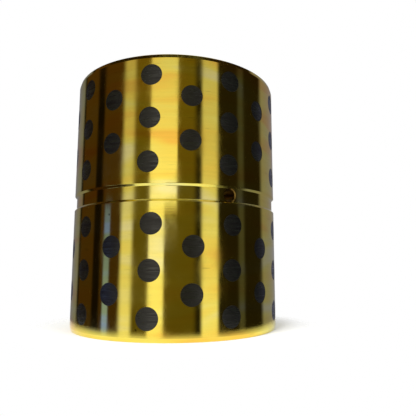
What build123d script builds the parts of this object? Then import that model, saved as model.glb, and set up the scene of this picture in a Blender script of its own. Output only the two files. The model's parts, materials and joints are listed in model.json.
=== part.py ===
"""Graphite plugged bushing: a turned bronze sleeve with graphite plugs set through its wall.

The sleeve stands on one end face with its axis on +Z and its oil hole towards -Y.
Lengths are in millimetres and angles in degrees.
"""

from build123d import *
from math import cos, radians, sin, tan
import os

# Sleeve
bore_diameter = 90.0
wall = 10.0
length = 130.0
lead_in_depth = 0.5  # how far each end is turned down, so that it starts in its housing
lead_in_angle = 15.0  # from the sleeve's axis
bore_chamfer = 1.5

# Oil groove round the middle of the sleeve, and the hole that leads from it to the bore
groove_width = 8.0  # across its mouth
groove_depth = 1.0
groove_flank_angle = 45.0  # of each flank, from the radial direction
oil_hole_diameter = 6.0
oil_hole_countersink = 0.4  # how far the countersink widens the hole's radius
oil_hole_countersink_angle = 90.0  # across the whole cone
oil_hole_azimuth = -90.0

# Graphite plugs: one field above the groove and one below it. Full columns of plugs
# alternate with staggered ones, so that no ring of the shaft runs dry.
plug_diameter = 9.9
plug_bond_gap = 0.05  # radial thickness of the adhesive between a plug and its hole
plug_recess = 0.1  # how far the soft ends lie inside the turned surfaces
column_pair_count = 9
full_column_plug_count = 3
staggered_column_plug_count = 2
full_column_edge = 10.0  # from a field's edge to the middle of its outermost plug
staggered_column_edge = 20.0
field_turn_angle = 1.1  # how far the lower field is turned ahead of the upper one
row_turn_angle = 0.5  # how far each row is turned ahead of the row below it

# Sizes that follow from those above
bore_radius = bore_diameter / 2
outer_radius = bore_radius + wall
mid_height = length / 2
lead_in_height = lead_in_depth / tan(radians(lead_in_angle))
groove_floor_radius = outer_radius - groove_depth
groove_mouth = groove_width / 2
groove_floor = groove_mouth - groove_depth * tan(radians(groove_flank_angle))
field_height = mid_height - groove_mouth
oil_hole_radius = oil_hole_diameter / 2
plug_radius = plug_diameter / 2
drill_start = bore_radius - plug_radius
drill_travel = wall + 2 * plug_radius
column_count = 2 * column_pair_count
column_pitch = 360 / column_count


def radial_plane(azimuth, height, radius):
    """A plane that faces outwards along a radius, at this distance from the sleeve's axis."""
    outwards = Vector(cos(radians(azimuth)), sin(radians(azimuth)), 0)
    return Plane(outwards * radius + Vector(0, 0, height), x_dir=(0, 0, 1), z_dir=outwards)


def column_planes(column, field_bottom, turn):
    """Where the drill starts for each plug of a column, from the lowest plug up."""
    if column % 2 == 0:
        rows, edge = full_column_plug_count, full_column_edge
    else:
        rows, edge = staggered_column_plug_count, staggered_column_edge
    row_pitch = (field_height - 2 * edge) / (rows - 1)
    first_azimuth = oil_hole_azimuth + column * column_pitch + turn - row_turn_angle * (rows - 1) / 2
    return [
        radial_plane(
            first_azimuth + row * row_turn_angle,
            field_bottom + edge + row * row_pitch,
            drill_start,
        )
        for row in range(rows)
    ]


# Each field's columns by name, with the planes that their plugs and the holes share
plug_planes = {}
for column in range(column_count):
    place = f"{round(column * column_pitch):03d}"
    upper_bottom = length - field_height
    plug_planes["lower_plugs_" + place] = column_planes(column, 0, field_turn_angle / 2)
    plug_planes["upper_plugs_" + place] = column_planes(column, upper_bottom, -field_turn_angle / 2)

outwards_from_plane = (Align.CENTER, Align.CENTER, Align.MIN)

# Bronze sleeve: turned with its lead-ins, groove and bore chamfers, then drilled
with BuildPart() as bronze_sleeve:
    with BuildSketch(Plane.XZ):
        with BuildLine():
            Polyline(
                (bore_radius, 0),
                (outer_radius - lead_in_depth, 0),
                (outer_radius, lead_in_height),
                (outer_radius, mid_height - groove_mouth),
                (groove_floor_radius, mid_height - groove_floor),
                (groove_floor_radius, mid_height + groove_floor),
                (outer_radius, mid_height + groove_mouth),
                (outer_radius, length - lead_in_height),
                (outer_radius - lead_in_depth, length),
                (bore_radius, length),
                close=True,
            )
        make_face()
    revolve(axis=Axis.Z)
    rings = bronze_sleeve.edges().filter_by(GeomType.CIRCLE)
    chamfer(rings.group_by(SortBy.RADIUS)[0], bore_chamfer)
    with Locations(*[plane for planes in plug_planes.values() for plane in planes]):
        Cylinder(
            plug_radius + plug_bond_gap,
            drill_travel,
            align=outwards_from_plane,
            mode=Mode.SUBTRACT,
        )
    with Locations(radial_plane(oil_hole_azimuth, mid_height, groove_floor_radius)):
        CounterSinkHole(
            oil_hole_radius,
            oil_hole_radius + oil_hole_countersink,
            depth=groove_floor_radius - drill_start,
            counter_sink_angle=oil_hole_countersink_angle,
        )

finished = {"bronze_sleeve": bronze_sleeve}

# Graphite plugs: the ends of each column's plugs are turned off together
for name, planes in plug_planes.items():
    with BuildPart() as column_plugs:
        with Locations(*planes):
            Cylinder(plug_radius, drill_travel, align=outwards_from_plane)
        Cylinder(outer_radius - plug_recess, 2 * length, mode=Mode.INTERSECT)
        Cylinder(bore_radius + plug_recess, 2 * length, mode=Mode.SUBTRACT)
    finished[name] = column_plugs

os.makedirs("parts", exist_ok=True)
for name, piece in finished.items():
    piece.part.label = name
    export_step(piece.part, f"parts/{name}.step")
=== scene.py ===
"""Looks of the graphite plugged bushing: its turned bronze sleeve, its graphite plugs and a small studio.

Sizes are in millimetres and angles in degrees. They turn into metres and radians where Blender needs them.
"""

import json
from itertools import product
from math import acos, asin, ceil, cos, degrees, floor, hypot, pi, radians, sin, sqrt, tan

import bpy
from mathutils import Matrix, Vector
from mathutils.geometry import delaunay_2d_cdt


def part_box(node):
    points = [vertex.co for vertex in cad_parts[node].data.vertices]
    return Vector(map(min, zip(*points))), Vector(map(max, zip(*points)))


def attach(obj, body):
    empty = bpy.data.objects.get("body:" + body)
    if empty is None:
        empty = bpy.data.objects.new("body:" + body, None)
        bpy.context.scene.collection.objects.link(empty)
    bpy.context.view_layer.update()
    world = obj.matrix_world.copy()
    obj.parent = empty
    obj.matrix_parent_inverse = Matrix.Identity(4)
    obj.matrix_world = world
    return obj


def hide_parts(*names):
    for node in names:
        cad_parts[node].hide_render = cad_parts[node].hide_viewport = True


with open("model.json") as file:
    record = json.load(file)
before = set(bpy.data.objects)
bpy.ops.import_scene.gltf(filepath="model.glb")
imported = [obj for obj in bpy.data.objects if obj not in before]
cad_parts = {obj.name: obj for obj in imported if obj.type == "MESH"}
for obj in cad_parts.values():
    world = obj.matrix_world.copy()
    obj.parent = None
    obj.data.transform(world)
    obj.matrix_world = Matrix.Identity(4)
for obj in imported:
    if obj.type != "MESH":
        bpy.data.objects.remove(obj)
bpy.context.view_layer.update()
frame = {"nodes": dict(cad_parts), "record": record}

MM = 0.001  # metres in a millimetre

# Sizes that the frame gives
mounts = {mount["name"]: mount["dims"] for mount in frame["record"]["mounts"]}
outer_radius = mounts["housing_fit"]["r_mm"]
bore_radius = mounts["shaft_bore"]["r_mm"]
oil_hole_radius = mounts["oil_hole"]["r_mm"]
length = round(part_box("bronze_sleeve")[1].z / MM, 2)

# Forms of the sleeve that no box or mount gives
lead_in_depth = 0.5
lead_in_angle = 15.0
bore_chamfer = 1.5
groove_width = 8.0
groove_depth = 1.0
groove_flank_angle = 45.0
oil_hole_countersink = 0.4
oil_hole_azimuth = -90.0
edge_round = 0.25  # radius that deburring leaves on the turned edges
rim_round = 0.05  # the same at the drilled holes

# Pattern of the plugs and their holes
hole_radius = 5.0
column_count = 18
full_column_plug_count = 3
staggered_column_plug_count = 2
full_column_edge = 10.0
staggered_column_edge = 20.0
field_turn_angle = 1.1
row_turn_angle = 0.5

# Sizes that follow from those above
lead_in_height = lead_in_depth / tan(radians(lead_in_angle))
groove_floor_radius = outer_radius - groove_depth
groove_mouth = groove_width / 2
groove_floor = groove_mouth - groove_depth * tan(radians(groove_flank_angle))
mid_height = length / 2
field_height = mid_height - groove_mouth
column_pitch = 360 / column_count

# Fineness of the meshes
steps_per_column = 16  # round the sleeve, in each column's share of it
wall_step = 3.0  # along the sleeve
rim_steps = 48  # round a hole
rim_margin = 0.6  # between a hole's rim and the nearest other corner
nearest_turn = 0.02  # radians between two corners of the oil hole's rim
round_steps = 3  # over a rounded edge
weld = 0.0001  # corners closer than this are one
bonded = 1  # number of the sleeve's second finish, on the walls of its plug holes
drilled_oil_hole = 2  # number of its third, in its oil hole and its countersink


def column_azimuth(column):
    """Azimuth of a column's middle, where column 0 is the oil hole's."""
    return oil_hole_azimuth + column * column_pitch


def column_holes(column, field_bottom, turn):
    """(azimuth, height) of each plug hole of a column in one field, from the lowest up."""
    if column % 2 == 0:
        rows, edge = full_column_plug_count, full_column_edge
    else:
        rows, edge = staggered_column_plug_count, staggered_column_edge
    row_pitch = (field_height - 2 * edge) / (rows - 1)
    first_azimuth = column_azimuth(column) + turn - row_turn_angle * (rows - 1) / 2
    return [
        (first_azimuth + row * row_turn_angle, field_bottom + edge + row * row_pitch)
        for row in range(rows)
    ]


lower_holes = [column_holes(column, 0, field_turn_angle / 2) for column in range(column_count)]
upper_holes = [
    column_holes(column, length - field_height, -field_turn_angle / 2) for column in range(column_count)
]


class Skin:
    """A mesh in the making: its corners with their true normals, and its faces with their finishes."""

    def __init__(self):
        self.points = []
        self.normals = []
        self.faces = []
        self.finishes = []
        self.known = {}

    def corner(self, point, normal):
        """Number of the corner at this point, which is made the first time that it is asked for."""
        # Two ways to one point differ in their last digits, so every cell that may hold it is looked up
        for key in product(*((floor(value / weld), ceil(value / weld)) for value in point)):
            if key in self.known:
                return self.known[key]
        self.known[tuple(round(value / weld) for value in point)] = len(self.points)
        self.points.append(Vector(point))
        self.normals.append(Vector(normal).normalized())
        return len(self.points) - 1

    def face(self, corners, finish=0):
        """A face that looks the way its corners' normals do, in the finish of this number."""
        a, b, c = (self.points[corner] for corner in corners[:3])
        outwards = sum((self.normals[corner] for corner in corners), Vector())
        if (b - a).cross(c - b).dot(outwards) < 0:
            corners = corners[::-1]
        self.faces.append(corners)
        self.finishes.append(finish)

    def piece(self, name, finishes):
        """The finished object, in metres, shaded by the true normals."""
        mesh = bpy.data.meshes.new(name)
        mesh.from_pydata([point * MM for point in self.points], [], self.faces)
        mesh.shade_smooth()
        mesh.normals_split_custom_set_from_vertices(self.normals)
        for material in finishes:
            mesh.materials.append(material)
        mesh.polygons.foreach_set("material_index", self.finishes)
        made = bpy.data.objects.new(name, mesh)
        bpy.context.scene.collection.objects.link(made)
        return made


# Sleeve mesh


def rounded_run(corners, radius):
    """Points of a closed profile with rounded corners: (r, z, normal r, normal z), in a list for each corner.

    The metal is on the left of the profile's way round.
    """
    arcs = []
    for index, corner in enumerate(corners):
        here = Vector(corner)
        way_in = (here - Vector(corners[index - 1])).normalized()
        way_out = (Vector(corners[(index + 1) % len(corners)]) - here).normalized()
        turn = way_in.angle_signed(way_out)  # clockwise is positive
        start = here - way_in * radius * tan(abs(turn) / 2)
        first_normal = Vector((way_in.y, -way_in.x))
        side = -1 if turn > 0 else 1
        centre = start - first_normal * side * radius
        arc = []
        for step in range(round_steps + 1):
            normal = first_normal.copy()
            normal.rotate(Matrix.Rotation(-turn * step / round_steps, 2))
            arc.append((*(centre + normal * side * radius), *normal))
        arcs.append(arc)
    return arcs


def ring(skin, radius, height, normal_out, normal_up):
    """A ring of corners round the sleeve."""
    corners = []
    for step in range(column_count * steps_per_column):
        angle = radians(column_azimuth(step / steps_per_column - 0.5))
        corners.append(
            skin.corner(
                (radius * cos(angle), radius * sin(angle), height),
                (normal_out * cos(angle), normal_out * sin(angle), normal_up),
            )
        )
    return corners


def wall_at(wall, height):
    """(r, normal r, normal z) of a wall at this height. Its points run from the lowest up."""
    for below, above in zip(wall, wall[1:]):
        if height <= above[1]:
            break
    share = (height - below[1]) / (above[1] - below[1])
    return [below[index] + (above[index] - below[index]) * share for index in (0, 2, 3)]


def hole_row(skin, wall, hole, rim_radius, depth, tilt):
    """A ring of corners round a hole, this deep under the wall it opens in.

    tilt turns the normal from the wall's own, at 0, to the hole's, at 90.
    """
    azimuth, height, turns = hole
    corners = []
    for angle in turns:
        sideways, up = rim_radius * sin(angle), rim_radius * cos(angle)
        radius, normal_out, normal_up = wall_at(wall, height + up)
        along = sqrt(radius**2 - sideways**2)
        wall_normal = Vector((normal_out * along / radius, normal_out * sideways / radius, normal_up))
        hole_normal = Vector((0, -sin(angle), -cos(angle)))
        normal = wall_normal * cos(radians(tilt)) + hole_normal * sin(radians(tilt))
        inwards = depth if normal_out > 0 else -depth
        turn = Matrix.Rotation(radians(azimuth), 3, "Z")
        point = turn @ Vector((along - inwards, sideways, height + up))
        corners.append(skin.corner(point, turn @ normal))
    return corners


def drilled_patch(skin, wall, column, holes, rim_radii):
    """One column's share of a wall, with holes in it."""
    middle = column_azimuth(column)
    low, high = wall[0][1], wall[-1][1]
    if len(wall) == 2:
        steps_up = round((high - low) / wall_step)
        heights = [low + (high - low) * step / steps_up for step in range(steps_up + 1)]
    else:
        heights = [point[1] for point in wall]
    shares = [step / steps_per_column - 0.5 for step in range(steps_per_column + 1)]
    azimuths = [middle + column_pitch * share for share in shares]

    places = []
    edges = []

    def add_line(line, closed=False):
        """Edges through these places, which the mesh has to keep."""
        first = len(places)
        places.extend(line)
        edges.extend((first + step, first + step + 1) for step in range(len(line) - 1))
        if closed:
            edges.append((len(places) - 1, first))

    def rim_place(hole, rim_radius, angle):
        azimuth, height, _ = hole
        up = rim_radius * cos(angle)
        radius = wall_at(wall, height + up)[0]
        return azimuth + degrees(asin(rim_radius * sin(angle) / radius)), height + up

    def in_hole(azimuth, height, margin=0.0):
        """Whether a place on the wall is in a hole, or this near to one."""
        radius = wall_at(wall, height)[0]
        return any(
            hypot(radius * sin(radians(azimuth - hole[0])), height - hole[1]) < rim_radius + margin
            for hole, rim_radius in zip(holes, rim_radii)
        )

    border = [(azimuth, low) for azimuth in azimuths]
    border += [(azimuths[-1], height) for height in heights[1:]]
    border += [(azimuth, high) for azimuth in azimuths[-2::-1]]
    border += [(azimuths[0], height) for height in heights[-2:0:-1]]
    add_line(border, closed=True)
    for hole, rim_radius in zip(holes, rim_radii):
        add_line([rim_place(hole, rim_radius, angle) for angle in hole[2]], closed=True)
    for height in heights[1:-1]:
        free = [azimuth for azimuth in azimuths if not in_hole(azimuth, height, rim_margin)]
        if len(wall) == 2:
            places += [(azimuth, height) for azimuth in free[1:-1]]
            continue
        # A line along which the wall bends is kept, up to the rim of the hole that it meets
        hole, rim_radius = holes[0], rim_radii[0]
        left = [azimuth for azimuth in free if azimuth < hole[0]]
        right = [azimuth for azimuth in free if azimuth >= hole[0]]
        if abs(height - hole[1]) < rim_radius:
            angle = acos((height - hole[1]) / rim_radius)
            add_line([(azimuth, height) for azimuth in left] + [rim_place(hole, rim_radius, -angle)])
            add_line([rim_place(hole, rim_radius, angle)] + [(azimuth, height) for azimuth in right])
        else:
            add_line([(azimuth, height) for azimuth in left + right])

    flat = [Vector((wall[0][0] * radians(azimuth - middle), height)) for azimuth, height in places]
    _, _, triangles, sources, _, _ = delaunay_2d_cdt(flat, edges, [], 1, 1e-6)
    for triangle in triangles:
        corners = [places[sources[corner][0]] for corner in triangle]
        if in_hole(*(sum(values) / 3 for values in zip(*corners))):
            continue
        numbers = []
        for azimuth, height in corners:
            radius, normal_out, normal_up = wall_at(wall, height)
            out = Vector((cos(radians(azimuth)), sin(radians(azimuth)), 0))
            up = Vector((0, 0, 1))
            numbers.append(skin.corner(out * radius + up * height, out * normal_out + up * normal_up))
        skin.face(numbers)


def turned_wall(skin, points, drilled={}):
    """A wall that follows these profile points round the sleeve.

    drilled has the (holes, rim radii) of each column that has holes in this wall.
    """
    rings = [ring(skin, *point) for point in points]
    wall = sorted(points, key=lambda point: point[1])
    for column in range(column_count):
        if column in drilled:
            drilled_patch(skin, wall, column, *drilled[column])
            continue
        first = column * steps_per_column
        for row, next_row in zip(rings, rings[1:]):
            for step in range(first, first + steps_per_column):
                after = (step + 1) % len(row)
                skin.face([row[step], row[after], next_row[after], next_row[step]])


def rounded_rim(radius, turned=90.0):
    """(rim radius, depth, tilt) over the rounded rim of a hole, from the wall into the hole."""
    tilts = [turned * step / round_steps for step in range(round_steps + 1)]
    return [
        (radius + rim_round * (1 - sin(radians(tilt))), rim_round * (1 - cos(radians(tilt))), tilt)
        for tilt in tilts
    ]


def drill(skin, hole, outer_wall, outer_rows, bore_wall, bore_rows, finish=0):
    """The wall of a radial hole, from the outside to the bore."""
    rows = [hole_row(skin, outer_wall, hole, *row) for row in outer_rows]
    rows += [hole_row(skin, bore_wall, hole, *row) for row in reversed(bore_rows)]
    for row, next_row in zip(rows, rows[1:]):
        for step in range(len(row)):
            after = (step + 1) % len(row)
            skin.face([row[step], row[after], next_row[after], next_row[step]], finish)


def sleeve_skin():
    """The turned and drilled sleeve, as one closed mesh."""
    skin = Skin()
    arcs = rounded_run(
        [
            (outer_radius - lead_in_depth, 0),
            (outer_radius, lead_in_height),
            (outer_radius, mid_height - groove_mouth),
            (groove_floor_radius, mid_height - groove_floor),
            (groove_floor_radius, mid_height + groove_floor),
            (outer_radius, mid_height + groove_mouth),
            (outer_radius, length - lead_in_height),
            (outer_radius - lead_in_depth, length),
            (bore_radius + bore_chamfer, length),
            (bore_radius, length - bore_chamfer),
            (bore_radius, bore_chamfer),
            (bore_radius + bore_chamfer, 0),
        ],
        edge_round,
    )
    bottom_end, lower_land, groove, upper_land, top_end, bore, bottom = (
        arcs[0] + arcs[1],
        [arcs[1][-1], arcs[2][0]],
        arcs[2] + arcs[3] + arcs[4] + arcs[5],
        [arcs[5][-1], arcs[6][0]],
        arcs[6] + arcs[7] + arcs[8] + arcs[9],
        [arcs[9][-1], arcs[10][0]],
        arcs[10] + arcs[11] + arcs[0][:1],
    )
    bore_wall = bore[::-1]

    regular = [2 * pi * step / rim_steps for step in range(rim_steps)]
    plug_rim = rounded_rim(hole_radius)
    oil_rim = rounded_rim(oil_hole_radius)
    sink_rim = rounded_rim(oil_hole_radius + oil_hole_countersink, turned=45.0)
    sink_floor = oil_hole_countersink + rim_round
    sink = [(oil_hole_radius, oil_hole_countersink, 45.0), (oil_hole_radius, sink_floor, 90.0)]
    # The oil hole's rim also has a corner wherever it meets a line along which the groove bends
    crossings = [(height - mid_height) / sink_rim[0][0] for _, height, _, _ in groove]
    crossings = [acos(share) for share in crossings if abs(share) < 1]
    oil_turns = sorted(
        [angle for angle in regular if all(abs(angle - turn) > nearest_turn for turn in crossings)]
        + crossings
        + [2 * pi - turn for turn in crossings]
    )
    oil_hole = (oil_hole_azimuth, mid_height, oil_turns)

    lands = []
    for columns in (lower_holes, upper_holes):
        lands.append([[(azimuth, height, regular) for azimuth, height in holes] for holes in columns])
    on_bore = [low + high for low, high in zip(*lands)]
    on_bore[0] = on_bore[0] + [oil_hole]

    def with_rims(columns):
        return {
            column: (holes, [(oil_rim if hole is oil_hole else plug_rim)[0][0] for hole in holes])
            for column, holes in enumerate(columns)
        }

    turned_wall(skin, bottom_end)
    turned_wall(skin, lower_land, with_rims(lands[0]))
    turned_wall(skin, groove, {0: ([oil_hole], [sink_rim[0][0]])})
    turned_wall(skin, upper_land, with_rims(lands[1]))
    turned_wall(skin, top_end)
    turned_wall(skin, bore, with_rims(on_bore))
    turned_wall(skin, bottom)
    for wall, columns in zip((lower_land, upper_land), lands):
        for hole in sum(columns, []):
            drill(skin, hole, wall, plug_rim, bore_wall, plug_rim, bonded)
    drill(skin, oil_hole, groove, sink_rim + sink[:1], groove, [], drilled_oil_hole)
    drill(skin, oil_hole, groove, sink, bore_wall, oil_rim, drilled_oil_hole)
    return skin


# Materials


def colour(code):
    """A linear colour from an sRGB hex code."""
    levels = [int(code[index : index + 2], 16) / 255 for index in (1, 3, 5)]
    linear = [level / 12.92 if level <= 0.04045 else ((level + 0.055) / 1.055) ** 2.4 for level in levels]
    return (*linear, 1)


def add(tree, kind, inputs={}, stops=None, **settings):
    """Adds a node. An input that is a socket is linked, and any other is set."""
    node = tree.nodes.new(kind)
    for name, value in settings.items():
        setattr(node, name, value)
    for name, value in inputs.items():
        if isinstance(value, bpy.types.NodeSocket):
            tree.links.new(value, node.inputs[name])
        else:
            node.inputs[name].default_value = value
    for index, (position, shade) in enumerate(stops or []):
        ramp = node.color_ramp.elements
        element = ramp[index] if index < 2 else ramp.new(position)
        element.position, element.color = position, shade
    return node


def blank_material(name):
    """A material with nothing in it, and its tree."""
    material = bpy.data.materials.new(name)
    material.use_nodes = True
    material.node_tree.nodes.clear()
    return material, material.node_tree


def part_place(tree, across, along):
    """The place on the part, counted in features of these sizes across the sleeve and along its surfaces."""
    place = add(tree, "ShaderNodeTexCoord").outputs["Object"]
    x, y, z = add(tree, "ShaderNodeSeparateXYZ", {"Vector": place}).outputs
    level = add(tree, "ShaderNodeCombineXYZ", {"X": x, "Y": y}).outputs["Vector"]
    radius = add(tree, "ShaderNodeVectorMath", {0: level}, operation="LENGTH").outputs["Value"]
    # Counting part of the radius keeps the rings on the end faces and chamfers too
    ring_place = add(tree, "ShaderNodeMath", {0: radius, 1: 0.7, 2: z}, operation="MULTIPLY_ADD").outputs[0]
    turned = add(tree, "ShaderNodeCombineXYZ", {"X": x, "Y": y, "Z": ring_place}).outputs["Vector"]
    scale = (1 / (across * MM), 1 / (across * MM), 1 / (along * MM))
    return add(tree, "ShaderNodeMapping", {"Vector": turned, "Scale": scale}).outputs["Vector"]


def turned_bronze():
    """High-strength bronze, finish turned: a bright yellow mirror with fine rings and an uneven tint."""
    material, tree = blank_material("turned_bronze")
    # Feed marks of about 0.2 mm, drawn as rings of 1.2 mm and finer so that they show
    ring_place = part_place(tree, 90.0, 1.2)
    rings = add(
        tree,
        "ShaderNodeTexNoise",
        {"Vector": ring_place, "Scale": 1.0, "Detail": 3.0, "Roughness": 0.7},
    )
    bump = add(
        tree,
        "ShaderNodeBump",
        {"Height": rings.outputs["Fac"], "Strength": 1.0, "Distance": 0.000006},
    )
    # Heat and oil leave a thin film, whose tint drifts between straw and pale in soft bands of about 15 mm
    film_place = part_place(tree, 60.0, 15.0)
    clouds = add(
        tree,
        "ShaderNodeTexNoise",
        {"Vector": film_place, "Scale": 1.0, "Detail": 2.0, "Distortion": 0.4},
    )
    film = add(
        tree,
        "ShaderNodeValToRGB",
        {"Fac": clouds.outputs["Fac"]},
        stops=[
            (0.34, colour("#f2c250")),
            (0.43, colour("#f2d85c")),
            (0.54, colour("#eee06a")),
            (0.66, colour("#ece49a")),
        ],
    )
    # Handling and oil leave hazy patches of about 20 mm
    haze_place = part_place(tree, 14.0, 20.0)
    haze = add(
        tree,
        "ShaderNodeTexNoise",
        {"Vector": haze_place, "Scale": 1.0, "Detail": 5.0, "Roughness": 0.6},
    )
    roughness = add(
        tree,
        "ShaderNodeMapRange",
        {"Value": haze.outputs["Fac"], "From Min": 0.42, "From Max": 0.68, "To Min": 0.07, "To Max": 0.17},
    )
    lines = add(
        tree,
        "ShaderNodeMapRange",
        {"Value": rings.outputs["Fac"], "From Min": 0.25, "From Max": 0.75, "To Min": 0.95, "To Max": 1.03},
    ).outputs["Result"]
    # The casting has rare dark pits of about 0.6 mm, where the middle of a cell lies in its surface
    pit_place = part_place(tree, 12.0, 12.0)
    pit_cells = add(tree, "ShaderNodeTexVoronoi", {"Vector": pit_place, "Scale": 1.0}).outputs["Distance"]
    pits = add(
        tree,
        "ShaderNodeMapRange",
        {"Value": pit_cells, "From Min": 0.02, "From Max": 0.045, "To Min": 0.15, "To Max": 1.0},
    ).outputs["Result"]
    # Handling leaves short scratches round it, about 8 mm long, drawn 0.5 mm wide so that they show
    scratch_place = part_place(tree, 8.0, 0.5)
    scuffs = add(tree, "ShaderNodeTexNoise", {"Vector": scratch_place, "Scale": 1.0, "Detail": 0.0})
    scratches = add(
        tree,
        "ShaderNodeMapRange",
        {"Value": scuffs.outputs["Fac"], "From Min": 0.79, "From Max": 0.85, "To Min": 1.0, "To Max": 0.75},
    ).outputs["Result"]
    wear = add(tree, "ShaderNodeMath", {0: pits, 1: scratches}, operation="MULTIPLY").outputs[0]
    worn_lines = add(tree, "ShaderNodeMath", {0: lines, 1: wear}, operation="MULTIPLY").outputs[0]
    shade = add(
        tree,
        "ShaderNodeVectorMath",
        {0: film.outputs["Color"], "Scale": worn_lines},
        operation="SCALE",
    )
    tangent = add(tree, "ShaderNodeTangent", direction_type="RADIAL", axis="Z")
    shader = add(
        tree,
        "ShaderNodeBsdfPrincipled",
        {
            "Base Color": shade.outputs["Vector"],
            "Metallic": 1.0,
            "Roughness": roughness.outputs["Result"],
            "Anisotropic": 0.3,
            "Anisotropic Rotation": 0.25,
            "Tangent": tangent.outputs["Tangent"],
            "Normal": bump.outputs["Normal"],
        },
    )
    add(tree, "ShaderNodeOutputMaterial", {"Surface": shader.outputs["BSDF"]})
    return material


def drilled_bronze():
    """Drilled bronze, not polished: duller and browner than the turned faces, with oil on its tool marks."""
    material, tree = blank_material("drilled_bronze")
    # Drill marks of about 0.3 mm
    mark_place = part_place(tree, 0.3, 0.3)
    marks = add(tree, "ShaderNodeTexNoise", {"Vector": mark_place, "Scale": 1.0, "Detail": 2.0})
    shade = add(
        tree,
        "ShaderNodeValToRGB",
        {"Fac": marks.outputs["Fac"]},
        stops=[(0.35, colour("#5a3c1a")), (0.65, colour("#a88c46"))],
    )
    bump = add(
        tree,
        "ShaderNodeBump",
        {"Height": marks.outputs["Fac"], "Strength": 0.5, "Distance": 0.00003},
    )
    shader = add(
        tree,
        "ShaderNodeBsdfPrincipled",
        {
            "Base Color": shade.outputs["Color"],
            "Metallic": 1.0,
            "Roughness": 0.35,
            "Normal": bump.outputs["Normal"],
        },
    )
    add(tree, "ShaderNodeOutputMaterial", {"Surface": shader.outputs["BSDF"]})
    return material


def bonded_hole():
    """The adhesive that holds a plug, black with graphite dust: it draws a thin dull line round each plug."""
    material, tree = blank_material("graphite_filled_adhesive")
    # Dust settles in specks of about 0.5 mm
    speck_place = part_place(tree, 0.5, 0.5)
    specks = add(tree, "ShaderNodeTexNoise", {"Vector": speck_place, "Scale": 1.0, "Detail": 2.0})
    shade = add(
        tree,
        "ShaderNodeValToRGB",
        {"Fac": specks.outputs["Fac"]},
        stops=[(0.4, colour("#0c0a06")), (0.65, colour("#2e2510"))],
    )
    shader = add(tree, "ShaderNodeBsdfPrincipled", {"Base Color": shade.outputs["Color"], "Roughness": 0.6})
    add(tree, "ShaderNodeOutputMaterial", {"Surface": shader.outputs["BSDF"]})
    return material


def turned_graphite():
    """Pressed graphite, turned off with the sleeve: nearly black, with a dull gloss and fine streaks."""
    material, tree = blank_material("turned_graphite")
    # Turning marks of about 0.2 mm, drawn as streaks of 0.7 mm so that they show
    streak_place = part_place(tree, 14.0, 0.7)
    streaks = add(
        tree,
        "ShaderNodeTexNoise",
        {"Vector": streak_place, "Scale": 1.0, "Detail": 4.0, "Roughness": 0.6},
    )
    # Grain of the pressed powder, about 2 mm
    grain_place = part_place(tree, 2.5, 1.6)
    grain = add(tree, "ShaderNodeTexNoise", {"Vector": grain_place, "Scale": 1.0, "Detail": 3.0})
    # The streaks count for four fifths
    both = {0: 0.2, 2: streaks.outputs["Fac"], 3: grain.outputs["Fac"]}
    mixed = add(tree, "ShaderNodeMix", both).outputs[0]
    shade = add(
        tree,
        "ShaderNodeValToRGB",
        {"Fac": mixed},
        stops=[(0.42, colour("#010101")), (0.48, colour("#0a0b09")), (0.62, colour("#161813"))],
    )
    roughness = add(
        tree,
        "ShaderNodeMapRange",
        {"Value": streaks.outputs["Fac"], "From Min": 0.35, "From Max": 0.65, "To Min": 0.45, "To Max": 0.2},
    )
    bump = add(
        tree,
        "ShaderNodeBump",
        {"Height": mixed, "Strength": 1.0, "Distance": 0.0001},
    )
    shader = add(
        tree,
        "ShaderNodeBsdfPrincipled",
        {
            "Base Color": shade.outputs["Color"],
            "Roughness": roughness.outputs["Result"],
            "IOR": 1.6,
            "Normal": bump.outputs["Normal"],
        },
    )
    add(tree, "ShaderNodeOutputMaterial", {"Surface": shader.outputs["BSDF"]})
    return material


# Studio

view_azimuth = -27.45  # of the camera, from -Y towards +X
card_distance = 2700.0
card_gap = 10.0
card_row = 5.0  # degrees of elevation in a row of a card's mesh
card_step = 3.0  # degrees of azimuth in a column of it


def direction(azimuth):
    """Level unit vector at this azimuth from the camera's side of the part, counted towards its right."""
    angle = radians(view_azimuth + azimuth)
    return Vector((sin(angle), -cos(angle), 0))


# Plain cards that show in the polished metal, from the farthest to the nearest, with the back left open to
# the white surround. Each has its left and right azimuth, its lowest and highest elevation, how many degrees
# its sides fade over, one colour, and its strength at its foot and its head. Azimuths count from the camera's
# side of the part towards its right.
cards = {
    "dark_surround": (-150, 150, -62, 62, 6, "#1e190b", 0.9, 1.5),
    "brown_wall": (-125, -58, -62, 45, 3, "#33230c", 0.7, 2.2),
    "dim_wall": (-51, 24, -62, 45, 7, "#564a18", 0.5, 1.7),
    "left_pale_wall": (-165, -126, -62, 50, 6, "#8e8ea0", 0.9, 0.6),
    "right_pale_wall": (106, 165, -62, 50, 9, "#8e8ea0", 0.9, 0.9),
    "left_flag": (-99, -84, -62, 42, 4, "#140e06", 1.0, 1.0),
    "daylight_strip": (-82, -72, -62, 9, 2.5, "#8aa2ff", 2.9, 0.5),
    "left_softbox": (-62, -43, -62, 42, 6, "#fff6e6", 1.7, 0.3),
    "middle_softbox": (-29, -11, -62, 10, 2, "#fff6e6", 1.7, 1.1),
    "upper_softbox": (-29, 2, 9, 45, 2, "#fff6e6", 1.3, 0.4),
    "right_softbox": (25, 48, -62, 42, 5, "#fff6e6", 1.8, 0.4),
    "grey_card": (69, 82, -62, 42, 5, "#56565e", 1.0, 0.5),
}


def stage_piece(name, corners, faces, material):
    """A piece of the studio, in millimetres, that shows in the metal and nowhere else."""
    mesh = bpy.data.meshes.new(name)
    mesh.from_pydata([corner * MM for corner in corners], [], faces)
    mesh.materials.append(material)
    made = bpy.data.objects.new(name, mesh)
    bpy.context.scene.collection.objects.link(made)
    # Softboxes stand off camera from every side, and the two lamps light what isn't polished
    made.visible_camera = made.visible_diffuse = made.visible_shadow = False
    return made


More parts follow.
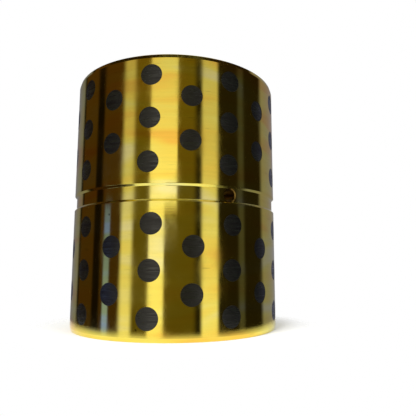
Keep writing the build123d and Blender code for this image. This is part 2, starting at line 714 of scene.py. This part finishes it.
def make_card(name, left, right, low, high, fade, code, foot, head, distance):
    """An upright card, curved round the part, with soft sides."""
    rows = ceil((high - low) / card_row)
    steps = ceil((right - left) / card_step)
    corners, places = [], []
    for row in range(rows + 1):
        elevation = low + (high - low) * row / rows
        for step in range(steps + 1):
            across = (right - left) * step / steps
            corners.append((direction(left + across) + Vector((0, 0, tan(radians(elevation))))) * distance)
            places += [across, right - left - across, elevation]
    faces = [
        (first, first + 1, first + steps + 2, first + steps + 1)
        for row in range(rows)
        for first in range(row * (steps + 1), row * (steps + 1) + steps)
    ]

    material, tree = blank_material(name)
    place = add(tree, "ShaderNodeAttribute", attribute_name="place").outputs["Vector"]
    from_left, from_right, elevation = add(tree, "ShaderNodeSeparateXYZ", {"Vector": place}).outputs
    strength = add(
        tree,
        "ShaderNodeMapRange",
        {"Value": elevation, "From Min": low, "From Max": high, "To Min": foot, "To Max": head},
    ).outputs["Result"]
    glow = add(tree, "ShaderNodeEmission", {"Color": colour(code), "Strength": strength}).outputs[0]
    nearest = add(tree, "ShaderNodeMath", {0: from_left, 1: from_right}, operation="MINIMUM").outputs[0]
    solid = add(
        tree,
        "ShaderNodeMapRange",
        {"Value": nearest, "From Max": fade},
        interpolation_type="SMOOTHSTEP",
    ).outputs["Result"]
    clear = add(tree, "ShaderNodeBsdfTransparent").outputs[0]
    mixed = add(tree, "ShaderNodeMixShader", {0: solid, 1: clear, 2: glow}).outputs[0]
    add(tree, "ShaderNodeOutputMaterial", {"Surface": mixed})

    made = stage_piece(name, corners, faces, material)
    attribute = made.data.attributes.new("place", "FLOAT_VECTOR", "POINT")
    attribute.data.foreach_set("vector", places)


def make_cards():
    """The softboxes and walls that give the turned metal its upright bands."""
    for order, (name, card) in enumerate(cards.items()):
        make_card(name, *card, card_distance - order * card_gap)


def make_lamp(name, azimuth, elevation, distance, size, power):
    """A soft square lamp that looks at the middle of the part. The cards stand for it in the metal."""
    data = bpy.data.lights.new(name, "AREA")
    data.size = size * MM
    data.energy = power
    made = bpy.data.objects.new(name, data)
    bpy.context.scene.collection.objects.link(made)
    middle = Vector((0, 0, mid_height))
    out = direction(azimuth) * cos(radians(elevation)) + Vector((0, 0, sin(radians(elevation))))
    made.location = (middle + out * distance) * MM
    made.rotation_mode = "QUATERNION"
    made.rotation_quaternion = out.to_track_quat("Z", "Y")
    made.visible_glossy = False


floor_radius = 85.0
floor_fade = 30.0
floor_steps = 96


def make_floor():
    """A round pale floor that fades into the white round it."""
    material, tree = blank_material("pale_floor")
    place = add(tree, "ShaderNodeTexCoord").outputs["Object"]
    reach = add(tree, "ShaderNodeVectorMath", {0: place}, operation="LENGTH").outputs["Value"]
    solid = add(
        tree,
        "ShaderNodeMapRange",
        {
            "Value": reach,
            "From Min": (floor_radius - floor_fade) * MM,
            "From Max": floor_radius * MM,
            "To Min": 1.0,
            "To Max": 0.0,
        },
        interpolation_type="SMOOTHSTEP",
    )
    shader = add(
        tree,
        "ShaderNodeBsdfPrincipled",
        {
            "Base Color": colour("#f2f2f0"),
            "Roughness": 0.9,
            "Specular IOR Level": 0.0,
            "Alpha": solid.outputs["Result"],
        },
    )
    add(tree, "ShaderNodeOutputMaterial", {"Surface": shader.outputs["BSDF"]})
    turns = [2 * pi * step / floor_steps for step in range(floor_steps)]
    rim = [Vector((cos(turn), sin(turn), 0)) * floor_radius * MM for turn in turns]
    mesh = bpy.data.meshes.new("floor")
    mesh.from_pydata(rim, [], [tuple(range(floor_steps))])
    mesh.materials.append(material)
    made = bpy.data.objects.new("floor", mesh)
    bpy.context.scene.collection.objects.link(made)


def make_world():
    """A white surround for the eye and the metal, and a dimmer one as light."""
    world = bpy.data.worlds.new("surround")
    world.use_nodes = True
    tree = world.node_tree
    tree.nodes.clear()
    rays = add(tree, "ShaderNodeLightPath").outputs
    seen = rays["Is Camera Ray"]
    for kind in ("Is Glossy Ray", "Is Transmission Ray"):
        seen = add(tree, "ShaderNodeMath", {0: seen, 1: rays[kind]}, operation="MAXIMUM").outputs[0]
    strength = add(tree, "ShaderNodeMapRange", {"Value": seen, "To Min": 0.6, "To Max": 1.0})
    light = add(
        tree,
        "ShaderNodeBackground",
        {"Color": colour("#ffffff"), "Strength": strength.outputs["Result"]},
    )
    add(tree, "ShaderNodeOutputWorld", {"Surface": light.outputs["Background"]})
    bpy.context.scene.world = world


# Camera: where it stands round the part, and how it is turned from looking level at the axis
camera_distance = 240.71
camera_height = 32.24
camera_lens = 36.719
camera_tilt = 7.867
camera_pan = -4.332
camera_roll = 0.689


def make_camera():
    """The camera, near the foot of the part and tilted up at it."""
    data = bpy.data.cameras.new("camera")
    data.lens = camera_lens
    data.sensor_width = 36.0
    data.clip_start = 0.01
    data.clip_end = 20.0
    made = bpy.data.objects.new("camera", data)
    bpy.context.scene.collection.objects.link(made)
    place = (direction(0) * camera_distance + Vector((0, 0, camera_height))) * MM
    made.matrix_world = (
        Matrix.Translation(place)
        @ Matrix.Rotation(radians(view_azimuth), 4, "Z")
        @ Matrix.Rotation(radians(90 + camera_tilt), 4, "X")
        @ Matrix.Rotation(radians(camera_pan), 4, "Y")
        @ Matrix.Rotation(radians(camera_roll), 4, "Z")
    )
    bpy.context.scene.camera = made


bronze = turned_bronze()
graphite = turned_graphite()
adhesive = bonded_hole()
drilled = drilled_bronze()

sleeve = sleeve_skin().piece("turned_sleeve", [bronze, adhesive, drilled])
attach(sleeve, "root")
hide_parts("bronze_sleeve")

for node_name, plugs in frame["nodes"].items():
    if "plugs" in node_name:
        plugs.data.materials.clear()
        plugs.data.materials.append(graphite)

make_world()
make_floor()
make_cards()
make_lamp("key_lamp", -35, 40, 1200, 500, 14.0)
make_lamp("fill_lamp", 45, 30, 1400, 700, 8.0)
make_camera()

bpy.context.scene.view_settings.view_transform = "Standard"
